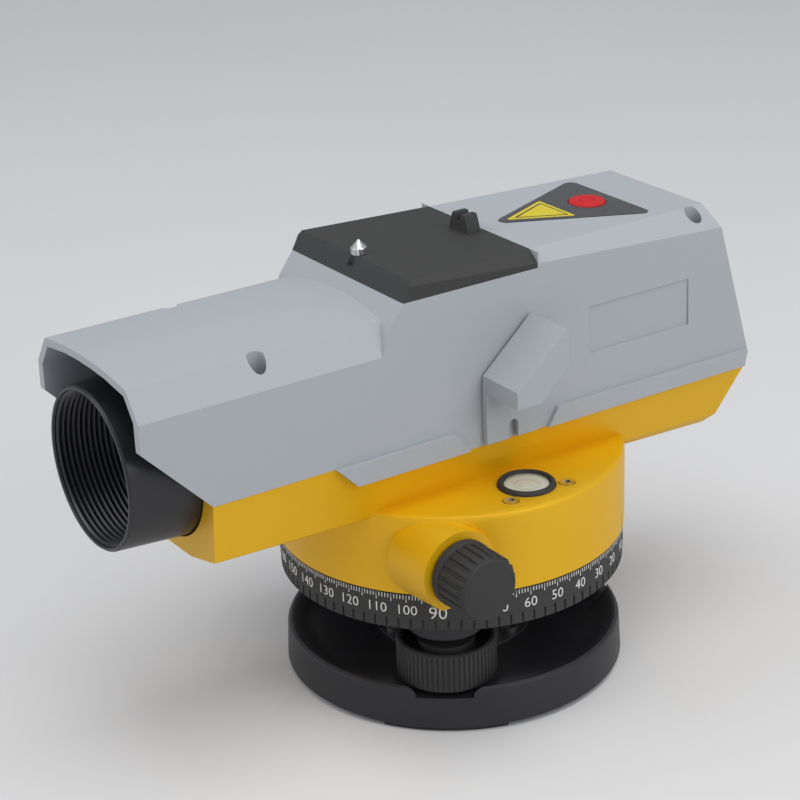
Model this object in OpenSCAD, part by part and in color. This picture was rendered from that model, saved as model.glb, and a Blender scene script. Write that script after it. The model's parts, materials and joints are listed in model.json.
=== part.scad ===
// Automatic level with a laser sight: telescope, compensator and battery case on a
// levelling base. Line of sight along -Y, vertical axis on Z, base seat at z = 0.

/* [Base] */
// Diameter of the base plate at its foot
base_d = 103.5; // [102:0.5:108]
// Height of the base plate's rim above the seat
base_h = 13.6; // [13:0.1:14.2]
// Distance of each foot screw from the vertical axis
foot_r = 36.8; // [36.4:0.1:37.2]
// Turn of the base about the vertical axis, degrees
base_turn = -38; // [-60:1:0]
// Diameter of a foot screw's knob
foot_knob_d = 29.8; // [28:0.2:30.2]
// Core diameter of the 5/8 inch tripod thread
tripod_d = 13.7; // [13.4:0.1:13.9]

/* [Circle] */
// Diameter of the graduated circle
circle_d = 104.8; // [104:0.2:106]
// Height of the circle's lower edge
circle_low = 33.5; // [33.2:0.1:34]
// Height of the circle's upper edge
circle_top = 45.1; // [44.6:0.1:45.2]

/* [Lower body] */
// Diameter of the drum over the circle
drum_d = 105.6; // [105:0.2:107]
// Height of the platform that carries the circular level
platform_z = 70; // [69.5:0.1:70.5]
// Distance of the tangent screw in front of the vertical axis
tangent_y = 31.5; // [31.4:0.1:31.8]
// Height of the tangent screw
tangent_z = 56.2; // [56:0.1:57]
// Overall width across the two tangent knobs
tangent_w = 128.2; // [126:0.2:132]

/* [Cover] */
// Height of the joint between cover and lower body
joint_z = 81.5; // [81:0.1:82]
// Height of the joint under the front hood
hood_joint_z = 88; // [87.6:0.1:88.4]
// Front edge of the hood, in front of the vertical axis
hood_front = 116.8; // [114:0.2:118]
// Wall thickness of the cover
cover_wall = 2.2; // [1.8:0.1:2.4]
// Distance of the cover screws from the centre plane
screw_x = 24.2; // [24:0.1:24.4]

/* [Telescope] */
// Height of the line of sight
sight_z = 94.2; // [93.8:0.1:94.6]
// Outer diameter of the lens barrel at its mouth
barrel_d = 46.8; // [46:0.2:47.4]
// Distance of the barrel's mouth in front of the vertical axis
barrel_front = 118; // [117.4:0.2:120]
// Diameter of the focusing knob
focus_knob_d = 30; // [26:1:32]

/* [Hidden] */

$fn = 64;
hull_fn = 32;
cut = 0.1;
far = 200;

seat_z = 1.2;
floor_z = 10.9;
ball_z = 7.4;
ball_r = 3.4;
neck_r = 2.2;
// The first socket is wider: its ball moves 0.05 mm sideways as the tribrach tilts
socket_play = [0.16, 0.05, 0.05];
thread_r = 4;
run = 0.05;
foot_angles = [for (i = [0:2]) base_turn + 120 * i];

knob_low = 12.6;
knob_top = 24.8;
arm_low = 28.4;
arm_top = 32.8;
arm_r = 11.4;
boss_low = 26;
boss_top = 37.5;
boss_r = 7.8;
hub_r = 20;
hub_top = 39.5;
journal_r = 16;
sleeve_r = 13;
axis_r = 7.5;
sleeve_top = 61.8;

wheel_teeth = 55;
wheel_r = 28.3;
wheel_low = 53.2;
wheel_top = 59.2;
worm_core_r = 2.9;
shaft_r = 3;

drum_r = drum_d / 2;
drum_low = circle_top + 0.4;
drum_roof = 66;
body_floor = 68.8;
vial_x = 39;
vial_r = 8.6;
vial_screw_x = 45;
vial_screw_y = 10;

plate_front = -33.6;
plate_rear = 12.4;
plate_low = 130.5;
top_z = 135.1;
top_slope = 1.19;
rear_lean = 14.5;
tail_y = 90.2;
laser_y = 56.5;
laser_r = 4.6;
knob_gap = 1.3;
screw_front = -78;
screw_rear = 74;
post_r = 3.5;
head_r = 2.6;

tube_r = 20.5;
tube_in = 18.6;
pinion_y = -5;
pinion_z = sight_z + 4.8;
eye_r = 12;
button_y = 53;

// ---- helpers ------------------------------------------------------------------

// Both corners of each (x, z) pair, placed at one y
function both(y, pts) = [for (p = pts) for (s = [-1, 1]) [s * p[0], y, p[1]]];

// Convex solid through a few corners
module convex(pts) {
    hull() for (p = pts) translate(p) cube(0.1, center = true);
}

// Part turned on the line of sight, starting at y
module on_sight(y) {
    translate([0, y, sight_z]) rotate([-90, 0, 0]) children();
}

// Part turned on an axis along +X, starting at x
module on_x(x, y, z) {
    translate([x, y, z]) rotate([0, 90, 0]) children();
}

// Profile in (y, z), carried across x from x0 to x1
module side_profile(x0, x1, pts) {
    translate([x0, 0, 0]) rotate([90, 0, 90]) linear_extrude(x1 - x0) polygon(pts);
}

// Ring with its low end at z = 0
module ring(outer, inner, h) {
    difference() {
        cylinder(r = outer, h = h);
        translate([0, 0, -cut]) cylinder(r = inner, h = h + 2 * cut);
    }
}

module at_foot(i) {
    rotate(foot_angles[i]) translate([foot_r, 0, 0]) children();
}

module both_sides() {
    children();
    mirror([1, 0, 0]) children();
}

// Lens with two like faces of the given sphere radius, h thick on its axis
module lens(r, sphere_r, h) {
    steps = 8;
    bulge = [for (i = [0:steps]) let (q = r * i / steps)
        [q, sphere_r - sqrt(sphere_r * sphere_r - q * q)]];
    back = [for (i = [steps:-1:0]) [bulge[i][0], h - bulge[i][1]]];
    rotate_extrude() polygon(concat(bulge, back));
}

// ---- base -----------------------------------------------------------------------

module base_plate() {
    rim = base_d / 2;
    color("#1d1d1f") difference() {
        union() {
            rotate_extrude() polygon([
                [0, 0], [15, 0], [15, 3.2], [44, 3.2], [44, seat_z], [rim - 0.4, seat_z],
                [rim, seat_z + 0.4], [rim - 0.5, base_h - 1.4], [rim - 0.9, base_h - 0.5],
                [rim - 1.7, base_h], [rim - 2.8, base_h - 0.2], [43, floor_z], [0, floor_z]
            ]);
            for (i = [0:2]) at_foot(i) translate([0, 0, seat_z]) cylinder(r = 7, h = 5);
            for (a = foot_angles)
                rotate(a - 21) rotate_extrude(angle = 42) translate([44.6, 0]) square([6.2, 2]);
        }
        for (i = [0:2]) at_foot(i) {
            translate([0, 0, floor_z]) cylinder(r = foot_knob_d / 2 + knob_gap, h = 9);
            translate([0, 0, ball_z]) sphere(r = ball_r + socket_play[i]);
            translate([0, 0, ball_z]) cylinder(r = ball_r + socket_play[i], h = 9);
        }
        translate([0, 0, -cut]) cylinder(r = tripod_d / 2, h = 20);
        for (a = foot_angles)
            rotate(a + 60) translate([20, 0, 5]) cylinder(r = 1.25, h = 9);
    }
}

module spring_plate() {
    color("#3a3a3d") translate([0, 0, floor_z + 0.05]) difference() {
        union() {
            cylinder(r = 24, h = 0.6);
            for (a = foot_angles)
                rotate(a) translate([0, -6, 0]) cube([foot_r, 12, 0.6]);
            for (i = [0:2]) at_foot(i) cylinder(r = 6, h = 0.6);
        }
        for (i = [0:2]) at_foot(i) translate([0, 0, -cut]) cylinder(r = 2.9, h = 2);
        for (a = foot_angles)
            rotate(a + 60) translate([20, 0, -cut]) cylinder(r = 1.6, h = 2);
        translate([0, 0, -cut]) cylinder(r = 9, h = 2);
    }
}

module spring_plate_screws() {
    color("#5a5a5e") for (a = foot_angles)
        rotate(a + 60) translate([20, 0, 0]) difference() {
            union() {
                translate([0, 0, floor_z + 0.65]) cylinder(r = 2.8, h = 1.5);
                translate([0, 0, 5.2]) cylinder(r = 1.2, h = 6.5);
            }
            translate([-2, -0.4, floor_z + 1.5]) cube([4, 0.8, 2]);
        }
}

module foot_ball(i) {
    color("#b8b8bc") at_foot(i) {
        translate([0, 0, ball_z]) sphere(r = ball_r);
        translate([0, 0, ball_z]) cylinder(r = neck_r, h = 8.2);
    }
}

module foot_spindle(i) {
    color("#b08d4a") at_foot(i) difference() {
        translate([0, 0, knob_low + 0.3]) cylinder(r = thread_r, h = 20.6);
        translate([0, 0, knob_low]) cylinder(r = neck_r + run, h = 3.4);
    }
}

module foot_knob(i) {
    r = foot_knob_d / 2;
    h = knob_top - knob_low;
    color("#1b1b1d") at_foot(i) translate([0, 0, knob_low]) rotate_extrude() polygon([
        [thread_r + 0.02, 0.3], [6.5, 0.3], [6.5, 1.6], [12, 1.6], [12.6, 0], [r - 0.9, 0],
        [r, 0.9], [r, h - 0.9], [r - 0.7, h], [13.3, h], [12.6, h - 3], [8.6, h - 3],
        [8.6, h - 1], [8, h - 0.4], [thread_r + 0.02, h - 0.4]
    ]);
}

module tribrach() {
    color("#222224") difference() {
        union() {
            translate([0, 0, arm_low]) linear_extrude(arm_top - arm_low)
                polygon([for (a = foot_angles) for (t = [-110:5:110])
                    [foot_r * cos(a) + arm_r * cos(a + t), foot_r * sin(a) + arm_r * sin(a + t)]]);
            for (i = [0:2]) at_foot(i) {
                cylinder_between(boss_r, boss_low, boss_top);
                translate([0, 0, boss_low + 0.4]) cylinder(r1 = 8.8, r2 = 10.4, h = arm_low - boss_low);
            }
            cylinder_between(hub_r, arm_low, hub_top);
            cylinder_between(journal_r, hub_top, 44);
        }
        for (i = [0:2]) at_foot(i) translate([0, 0, boss_low - cut])
            cylinder(r = thread_r + run, h = 10.6);
        cylinder_between(sleeve_r, arm_low - cut, far);
    }
}

// Posts that the four cover screws pass through
module screw_posts(low, high) {
    both_sides() for (y = [screw_front, screw_rear])
        translate([screw_x, y, 0]) cylinder_between(post_r, low, high);
}

module cylinder_between(r, low, high) {
    translate([0, 0, low]) cylinder(r = r, h = high - low);
}

module axis_sleeve() {
    color("#b3873f") difference() {
        union() {
            cylinder_between(sleeve_r, arm_low, sleeve_top);
            cylinder_between(sleeve_r + 3, arm_low - 2.4, arm_low);
        }
        cylinder_between(axis_r + run, 0, far);
    }
}

module circle_ring() {
    r = circle_d / 2;
    color("#202022") difference() {
        rotate_extrude() polygon([
            [journal_r + 0.06, 40], [r - 2.8, 40], [r - 2.8, circle_low], [r - 0.8, circle_low],
            [r - 0.2, circle_low + 0.6], [r - 0.2, circle_low + 4.4], [r, circle_low + 4.8],
            [r, circle_top - 0.3], [r - 0.3, circle_top], [r - 2.2, circle_top],
            [r - 2.2, 42.2], [journal_r + 0.06, 42.2]
        ]);
        for (i = [0:89]) rotate(4 * i) translate([r - 0.7, -0.35, circle_low - 1])
            cube([2, 0.7, 4.6]);
    }
}

module circle_washer() {
    color("#9a9a9e") translate([0, 0, hub_top + 0.03]) ring(hub_r - 0.5, journal_r + 0.1, 0.42);
}

// ---- tangent drive -----------------------------------------------------------------

module worm_wheel() {
    root = wheel_r - 1.6;
    pitch_a = 360 / wheel_teeth;
    teeth = [for (i = [0:wheel_teeth - 1]) for (c = [[root, -0.27], [wheel_r, -0.13],
             [wheel_r, 0.13], [root, 0.27]])
             let (a = (i + c[1]) * pitch_a) [c[0] * cos(a), c[0] * sin(a)]];
    color("#b08a3c") difference() {
        translate([0, 0, wheel_low]) linear_extrude(wheel_top - wheel_low) polygon(teeth);
        cylinder_between(sleeve_r + run, 0, far);
        cylinder_between(wheel_r - 6, wheel_top - 1.5, far);
    }
}

module clutch_washer() {
    color("#9a9a9e") translate([0, 0, wheel_top - 1.45]) ring(wheel_r - 7, sleeve_r + 0.1, 0.9);
}

module tangent_shaft() {
    half = tangent_w / 2 - 3;
    color("#a5a5a8") {
        on_x(-half, -tangent_y, tangent_z) cylinder(r = shaft_r, h = half - 9);
        on_x(9, -tangent_y, tangent_z) cylinder(r = shaft_r, h = half - 9);
        on_x(-9.01, -tangent_y, tangent_z) cylinder(r = worm_core_r, h = 18.02);
    }
}

module tangent_bushes() {
    color("#b3873f") both_sides() on_x(41, -tangent_y, tangent_z) ring(5, shaft_r + run, 8.4);
}

module tangent_knob() {
    r = 10;
    h = tangent_w / 2 - 50;
    color("#1c1c1e") on_x(50, -tangent_y, tangent_z) rotate_extrude() polygon([
        [shaft_r + 0.02, 0], [r - 0.6, 0], [r, 0.5], [r, h - 1.6], [r - 1, h], [0, h],
        [0, h - 2.95], [shaft_r + 0.02, h - 2.95]
    ]);
}

// ---- lower body ------------------------------------------------------------------

module body_outside() {
    convex(concat(
        both(-96.9, [[29.8, 90]]), both(-95.9, [[26.4, 69.4]]), both(-95.5, [[12, 65.8]]),
        both(93.2, [[30.4, 90]]), both(tail_y + 0.5, [[30.2, joint_z]]), both(82.5, [[26.6, 66]]),
        both(79, [[24.4, 63.4]]), both(78, [[12, 62.4]])
    ));
}

module body_inside() {
    convex(concat(
        both(-93.6, [[27.2, 95]]), both(-93, [[24.4, body_floor]]),
        both(92.2, [[27.6, 95]]), both(88.6, [[27.4, joint_z]]), both(79, [[24.6, body_floor]])
    ));
}

module lower_body() {
    color("#dba400") difference() {
        union() {
            difference() {
                body_outside();
                side_profile(-60, 60, [[-58.5, hood_joint_z], [-52, joint_z], [120, joint_z],
                    [120, 120], [-120, 120], [-120, hood_joint_z]]);
                difference() {
                    body_inside();
                    screw_posts(body_floor - 1, 100);
                }
            }
            difference() {
                rotate_extrude() polygon([[0, drum_roof - 1], [drum_r - 2.8, drum_roof - 1],
                    [drum_r - 2.8, drum_low], [drum_r, drum_low],
                    [drum_r, platform_z - 2], [drum_r - 0.6, platform_z - 0.6],
                    [drum_r - 2, platform_z], [0, platform_z]]);
                translate([-24.4, -93, body_floor]) cube([48.8, 172, 9]);
            }
            both_sides() difference() {
                on_x(33, -tangent_y, tangent_z) cylinder(r1 = 13.2, r2 = 12.1, h = 16.6);
                translate([0, -60, 30]) cube([60, 60, drum_low + 0.1 - 30]);
            }
            translate([vial_x, 0, 61]) cylinder(r = vial_r + 2, h = 6);
            translate([-26.7, pinion_y - 7, body_floor - 1]) cube([2.5, 14, 38]);
            for (y = [-66, -2]) tube_saddle(y);
            translate([-8, 68, body_floor - 1]) cube([16, 4, 20]);
        }
        cylinder_between(14.2, 50, drum_roof);
        cylinder_between(6, 50, far);
        translate([vial_x, 0, 62.4]) cylinder(r = vial_r + 0.1, h = 20);
        both_sides() {
            on_x(33, -tangent_y, tangent_z) cylinder(r = shaft_r + 0.4, h = 30);
            on_x(41, -tangent_y, tangent_z) cylinder(r = 5, h = 30);
            translate([screw_x, screw_front, 78]) cylinder(r = 1.25, h = 30);
            translate([screw_x, screw_rear, 72]) cylinder(r = 1.25, h = 30);
        }
        for (s = [-1, 1]) translate([vial_screw_x, s * vial_screw_y, 0]) {
            translate([0, 0, 60]) cylinder(r = 1.6, h = 20);
            translate([0, 0, platform_z - 1.6]) cylinder(r = 2.5, h = 20);
        }
        on_sight(-100) cylinder(r = 25.1, h = 10);
        on_sight(-80) cylinder(r = tube_r, h = 90);
        on_sight(60) cylinder(r = eye_r, h = 40);
        on_x(-40, pinion_y, pinion_z) cylinder(r = 4, h = 20);
    }
}

// Upright that carries the telescope tube
module tube_saddle(y) {
    translate([-15, y, body_floor - 1]) cube([30, 4, 12]);
}

module axis_spindle() {
    color("#a5a5a8") {
        cylinder_between(axis_r, 30, drum_roof - 0.2);
        cylinder_between(14, sleeve_top + 0.3, drum_roof);
        cylinder_between(5.9, drum_roof - 0.2, body_floor);
    }
}

module axis_retainer() {
    color("#8f8f93") {
        cylinder_between(10.5, 24.2, arm_low - 2.7);
        cylinder_between(3.5, arm_low - 2.8, 30);
    }
}

// ---- circular level ----------------------------------------------------------------

module vial_bezel() {
    color("#141416") translate([vial_x, 0, 64]) rotate_extrude() polygon([
        [6.7, 0], [vial_r, 0], [vial_r, 6.4], [vial_r - 0.4, 7], [7.4, 7.3], [6.7, 7]]);
}

module vial_base() {
    color("#d8d2c0") translate([vial_x, 0, 62.5]) cylinder(r = vial_r, h = 1.45);
}

module vial_glass() {
    color("#e8e6d8") translate([vial_x, 0, 64]) cylinder(r = 6.65, h = 6.8);
}

module vial_screws() {
    color("#c8c8cc") for (s = [-1, 1]) translate([vial_screw_x, s * vial_screw_y, 0])
        difference() {
            union() {
                translate([0, 0, platform_z - 1.55]) cylinder(r = 2.3, h = 1.8);
                translate([0, 0, 61.5]) cylinder(r = 1.5, h = 7.2);
            }
            translate([0, 0, platform_z - 1]) cylinder(r = 1.2, h = 3, $fn = 6);
        }
}

// ---- cover -------------------------------------------------------------------------

// Section in (x, z), carried along y from y0 to y1
module along_y(y0, y1, half) {
    translate([0, y1, 0]) rotate([90, 0, 0]) linear_extrude(y1 - y0)
        polygon(concat(half, [for (i = [len(half) - 1:-1:0]) [-half[i][0], half[i][1]]]));
}

// All that lies behind the leaning rear face that meets z = 86 at y
module behind_rear(y) {
    translate([-far / 2, y, 86]) rotate([rear_lean, 0, 0]) translate([0, 0, -far / 2])
        cube([far, far, far]);
}

module cover_outside() {
    difference() {
        along_y(-hood_front, 97, [[30.2, joint_z], [28.9, 136]]);
        above_hood(0, -33);
        side_profile(-60, 60, [[-60, 130.4], [plate_rear, 130.4], [plate_rear, top_z],
            [100, top_z - 1.82], [100, 160], [-60, 160]]);
        behind_rear(92);
        side_profile(-60, 60, [[92.1, 86], [tail_y, joint_z - 1], [110, joint_z - 1], [110, 86]]);
        both_sides() translate([24.9, plate_rear, top_z]) rotate([-1.6, 0, 2.1])
            rotate([0, 39.5, 0]) translate([-30, 0.2, 0]) cube([60, 120, 30]);
    }
}

// Space over the hood, up to the step that carries the battery lid
module above_hood(sink, back) {
    difference() {
        along_y(-130, back, [[4, 126.8 - sink], [11.7, 126.4 - sink], [23.6 - 0.6 * sink, 124.9 - sink],
            [29.4 - 0.6 * sink, 116.6 - sink], [40, 101.4 - sink], [40, 170]]);
        side_profile(-60, 60, [[plate_front + sink, 131], [plate_front + sink, 130.4],
            [-38.3 + sink, 124], [-41.4 + sink, 117], [-47 + sink, 104], [-20, 104], [-20, 172],
            [plate_front + sink, 172]]);
    }
}

module cover_inside() {
    w = cover_wall;
    difference() {
        along_y(-130, 96, [[30.1 - w, 60], [28.7 - w, 124.5], [20.6, 136 - w]]);
        above_hood(w, -32);
        side_profile(-60, 60, [[-60, 128.1], [plate_rear - 2, 128.1], [plate_rear + 1, top_z - w],
            [100, top_z - 1.82 - w], [100, 160], [-60, 160]]);
        behind_rear(92 - 1.1 * w);
    }
}

module on_top(y) {
    translate([0, plate_rear, top_z]) rotate([-top_slope, 0, 0])
        translate([0, y - plate_rear, 0]) children();
}

module label_outline(grow) {
    hull() for (c = [[0, 22.9], [-16.6, 59.9], [16.6, 59.9]])
        translate(c) circle(r = 2.4 + grow, $fn = hull_fn);
}

module skirt(pts) {
    both_sides() side_profile(29, 31.5, pts);
}

module top_cover() {
    color("#9da2a6") difference() {
        union() {
            difference() {
                cover_outside();
                difference() {
                    cover_inside();
                    screw_posts(joint_z - 1, 160);
                }
            }
            skirt([[-52.6, joint_z], [-58.4, 87.4], [-58.4, 87.9], [-18.8, 87.9],
                [-13.9, joint_z]]);
            skirt([[14, joint_z], [17.6, 86.9], [91, 86.6], [tail_y - 0.3, joint_z]]);
            for (s = [-1, 1]) for (y = [42, 64])
                translate([s * 15, y, 125.8]) cylinder(r = 2, h = 7);
        }
        side_profile(-60, 60, [[-130, 70], [60, 70], [120, joint_z], [-52, joint_z],
            [-58.5, hood_joint_z], [-97, hood_joint_z], [-hood_front, 108.3], [-130, 108.3]]);
        both_sides() for (y = [screw_front, screw_rear]) translate([screw_x, y, 0]) {
            translate([0, 0, 96]) cylinder(r = head_r, h = 60);
            cylinder_between(1.7, 70, far);
        }
        translate([-25, -29, 120]) cube([50, 37, 20]);
        on_sight(70) cylinder(r = 13.2, h = 40);
        on_x(-40, pinion_y, pinion_z) cylinder(r = 6, h = 20);
        on_top(0) translate([0, 0, -0.35]) linear_extrude(3) label_outline(0.1);
        translate([0, button_y, 120]) cylinder(r = 5.9, h = 30);
        both_sides() side_profile(29.05, 34, [[30.4, 99.9], [68.2, 99.9], [68.2, 114.5],
            [30.4, 114.5]]);
    }
}

module cover_screws() {
    color("#8f8f93") both_sides() for (y = [screw_front, screw_rear])
        translate([screw_x, y, 0]) difference() {
            union() {
                translate([0, 0, 96.02]) cylinder(r = head_r - 0.1, h = 2.4);
                translate([0, 0, 79]) cylinder(r = 1.2, h = 17.1);
            }
            translate([-2, -0.35, 97.6]) cube([4, 0.7, 2]);
            translate([-0.35, -2, 97.6]) cube([0.7, 4, 2]);
        }
}

module sight_plate() {
    sight_y = 7.8;
    color("#1f1f21") difference() {
        union() {
            convex(concat(
                both(plate_front, [[28.9, plate_low]]), both(plate_rear - 0.1, [[28.9, plate_low],
                    [28.9, 131.8], [24.9, top_z]]),
                both(-31.4, [[28.9, 134.7]]), both(-30.5, [[28, 136]])
            ));
            translate([0, 0, top_z - 0.5]) difference() {
                translate([0, sight_y + 2.2, 0]) rotate([90, 0, 0]) linear_extrude(4.4)
                    polygon([[-4.6, 0], [4.6, 0], [4.4, 2.4], [3, 6], [1.1, 6], [0.8, 3.6],
                        [-0.8, 3.6], [-1.1, 6], [-3, 6], [-4.4, 2.4]]);
                translate([0, sight_y, 4]) rotate([-14, 0, 0]) translate([-6, -6.4, 0])
                    cube([12, 4, 8]);
            }
        }
        translate([-23.5, -27, 129]) cube([47, 33, 4]);
        translate([0, -29, 120]) cylinder(r = 1.55, h = 30);
        translate([0, -32.2, 133]) cylinder(r = 1.5, h = 5);
    }
}

module front_sight() {
    color("#cfcfd2") translate([0, -29, 0]) {
        translate([0, 0, 131.2]) cylinder(r = 1.5, h = 5);
        translate([0, 0, 136.05]) cylinder(r = 2.4, h = 2.2);
        translate([0, 0, 138.2]) cylinder(r1 = 2.4, r2 = 0.2, h = 2.2);
    }
}

module label_panel() {
    color("#232326") difference() {
        on_top(0) translate([0, 0, -0.34]) linear_extrude(0.5) label_outline(0);
        translate([0, button_y, 120]) cylinder(r = 5.9, h = 30);
    }
}

module power_button() {
    color("#b5121b") translate([0, button_y, 0]) {
        cylinder_between(5.6, 130.9, 134.5);
        cylinder_between(6.8, 130.9, 131.6);
        translate([0, 0, 134.5]) cylinder(r1 = 5.6, r2 = 4.6, h = 0.5);
    }
}

module control_board() {
    color("#1f5a34") translate([-18, 38, 124.1]) cube([36, 30, 1.6]);
    color("#1f5a34") translate([-3, button_y - 3, 125.6]) cube([6, 6, 4.2]);
}

module battery_tray() {
    color("#29292b") difference() {
        translate([-24.6, -28.6, 117]) cube([49.2, 36.2, 13.2]);
        translate([-23.2, -27.2, 118.4]) cube([46.4, 16, 20]);
        translate([-23.2, -10.2, 118.4]) cube([46.4, 16.4, 20]);
    }
}

module batteries() {
    color("#4f6d8a") for (y = [-19.2, -2]) {
        on_x(-22.2, y, 123.8) cylinder(r = 5.2, h = 43.4);
        on_x(21, y, 123.8) cylinder(r = 1.9, h = 2);
    }
}

// ---- bubble mirror -------------------------------------------------------------------

module mirror_hood() {
    color("#a0a5a9") {
        difference() {
            union() {
                side_profile(30.45, 47, [[-8.6, 98], [-8.6, 103.2], [8.6, 118.3], [9.6, 117.4],
                    [9.6, 107.6], [8.2, 105.8], [0, 98]]);
                side_profile(30.45, 32.4, [[-8.8, 82.4], [9.8, 82.4], [9.8, 108], [-8.8, 101]]);
            }
            side_profile(32.4, 45.4, [[-7, 97], [-7, 102.4], [8, 115.6], [12, 115.6],
                [12, 108.6], [7.6, 107.8], [-3, 97]]);
            on_x(25, 0.6, 86.4) cylinder(r = 1.6, h = 20);
            translate([25, -1, 80]) cube([20, 3.2, 6.4]);
        }
    }
}

module bubble_mirror() {
    color("#dfe6ea") side_profile(33, 45, [[-6.9, 101.2], [-6.9, 102.3], [7.6, 115.1],
        [8.3, 114.4]]);
}

// ---- telescope -------------------------------------------------------------------------

module lens_barrel() {
    mouth = barrel_d / 2;
    pitch = 1.6;
    baffles = [for (i = [0:16]) for (k = [[0.5, -1.1], [0.9, -0.95], [1.5, -1.7]])
        [mouth + k[1] - 0.35, i * pitch + k[0]]];
    color("#18181a") on_sight(-barrel_front) rotate_extrude() polygon(concat(
        [[tube_r + 0.05, 34], [mouth + 1.4, 34], [mouth + 1.4, 24], [mouth, 0.6],
         [mouth - 0.5, 0], [mouth - 1.2, 0]],
        baffles, [[tube_r - 2.5, 28], [tube_r + 0.05, 28]]));
}

module telescope_tube() {
    color("#2b2b2e") difference() {
        on_sight(-89.9) ring(tube_r, tube_in, 91);
        translate([-30, -50, sight_z - 5]) cube([20, 50, 10]);
    }
}

module objective_ring() {
    color("#1c1c1e") on_sight(-89.5) ring(tube_in - 0.02, 16.8, 9);
}

module objective_lens() {
    color("#7f9fb5") on_sight(-88) lens(16.7, 62, 7);
}

module focus_carriage() {
    color("#b3873f") {
        difference() {
            union() {
                on_sight(-42) ring(tube_in - run, 13, 24);
                translate([-23.4, -32, sight_z - 3]) cube([8, 8, 2.6]);
            }
            on_sight(-42) translate([0, 0, 11]) cylinder(r = 13, h = 20);
        }
        translate([-23.4, -30, sight_z - 4]) cube([2.6, 52, 3.6]);
    }
}

module focus_lens() {
    color("#7f9fb5") on_sight(-34) lens(12.95, 60, 4);
}

module focus_bush() {
    color("#b3873f") on_x(-27.8, pinion_y, pinion_z) ring(3.98, 2.55, 3.6);
}

module focus_pinion() {
    color("#a5a5a8") {
        on_x(-42, pinion_y, pinion_z) cylinder(r = 2.5, h = 20);
        on_x(-23.4, pinion_y, pinion_z) cylinder(r = 4.75, h = 2.6);
    }
}

module focus_knob() {
    r = focus_knob_d / 2;
    color("#1c1c1e") on_x(-31, pinion_y, pinion_z) mirror([0, 0, 1]) rotate_extrude() polygon([
        [2.52, 0], [9, 0], [9, 1.2], [r - 1, 2.6], [r, 3.6], [r, 14], [r - 1.4, 15.5], [0, 15.5],
        [0, 11.05], [2.52, 11.05]
    ]);
}

// ---- compensator ---------------------------------------------------------------------

module compensator_frame() {
    color("#8d9094") difference() {
        translate([-20, 8, body_floor + 0.05]) cube([40, 42, 48]);
        translate([-16.6, 7, 72]) cube([33.2, 44, 41]);
        translate([-21, 7, 84]) cube([42, 12, 50]);
        translate([-21, 35, 100]) cube([42, 20, 50]);
    }
}

module pendulum() {
    color("#b3873f") {
        difference() {
            translate([-13, 17, 78]) cube([26, 20, 28]);
            translate([-9.2, 16, 84]) cube([18.4, 22, 19]);
        }
        translate([-9, 20, 73.2]) cube([18, 14, 4.9]);
        for (x = [-10, 10]) for (y = [24, 30]) translate([x, y, 105.9])
            cylinder(r = 0.2, h = 6.9);
    }
}

module pendulum_prism() {
    color("#a9c4cf") side_profile(-9, 9, [[18, 84.2], [36, 84.2], [36, 90], [27, 102.6],
        [18, 90]]);
}

module roof_prism() {
    color("#a9c4cf") side_profile(-9, 9, [[40.4, 84.2], [49, 84.2], [49, 102.6],
        [43, 102.6]]);
    color("#8d9094") translate([-9, 40.4, 72.05]) cube([18, 8.6, 12.1]);
}

// ---- laser, reticle and eyepiece --------------------------------------------------------

module laser_module() {
    color("#b3873f") translate([0, laser_y, 0]) {
        cylinder_between(laser_r, 101.4, 121);
        cylinder_between(2.2, 121, 123);
    }
}

module laser_bracket() {
    color("#2b2b2e") {
        translate([-6, 51, body_floor + 0.05]) cube([12, 9.6, 19.2]);
        translate([-10, 52, body_floor + 0.05]) cube([3.6, 8.6, 43]);
        translate([0, laser_y, 106.4]) difference() {
            cylinder(r = 8.4, h = 5.4);
            translate([0, 0, -1]) cylinder(r = laser_r + 0.02, h = 9);
        }
    }
}

module beam_splitter() {
    color("#a9c4cf") translate([-5.5, 51.2, sight_z - 5.7]) cube([11, 9, 11.5]);
}

module reticle() {
    color("#b3873f") on_sight(62.4) difference() {
        ring(eye_r - 2.95, 5.6, 3);
        translate([0, 0, 1]) cylinder(r = 6.6, h = 3);
    }
    color("#a9c4cf") on_sight(63.45) cylinder(r = 6.5, h = 1.2);
}

module eyepiece_tube() {
    color("#29292b") on_sight(61.2) difference() {
        ring(eye_r, eye_r - 2.9, 36);
        for (a = [45:90:315]) rotate(a) translate([0, 0, 2.6]) rotate([90, 0, 0])
            cylinder(r = 0.8, h = 30);
    }
}

module eyepiece_lenses() {
    color("#7f9fb5") {
        on_sight(80) lens(6.9, 24, 4);
        on_sight(93.4) lens(6.9, 24, 4);
    }
    color("#29292b") on_sight(79) difference() {
        ring(eye_r - 2.95, 6.92, 20);
        translate([0, 0, 19]) cylinder(r = 7.6, h = 5);
    }
}

module eyepiece_ring() {
    color("#1a1a1c") on_sight(94.6) rotate_extrude() polygon([
        [eye_r + run, 0], [12.5, 0], [12.9, 0.5], [12.9, 6.6], [11.6, 8.6], [6.2, 8.6],
        [7.4, 7.3], [eye_r + run, 7.3]
    ]);
}

// ---- pieces -----------------------------------------------------------------------------

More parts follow.
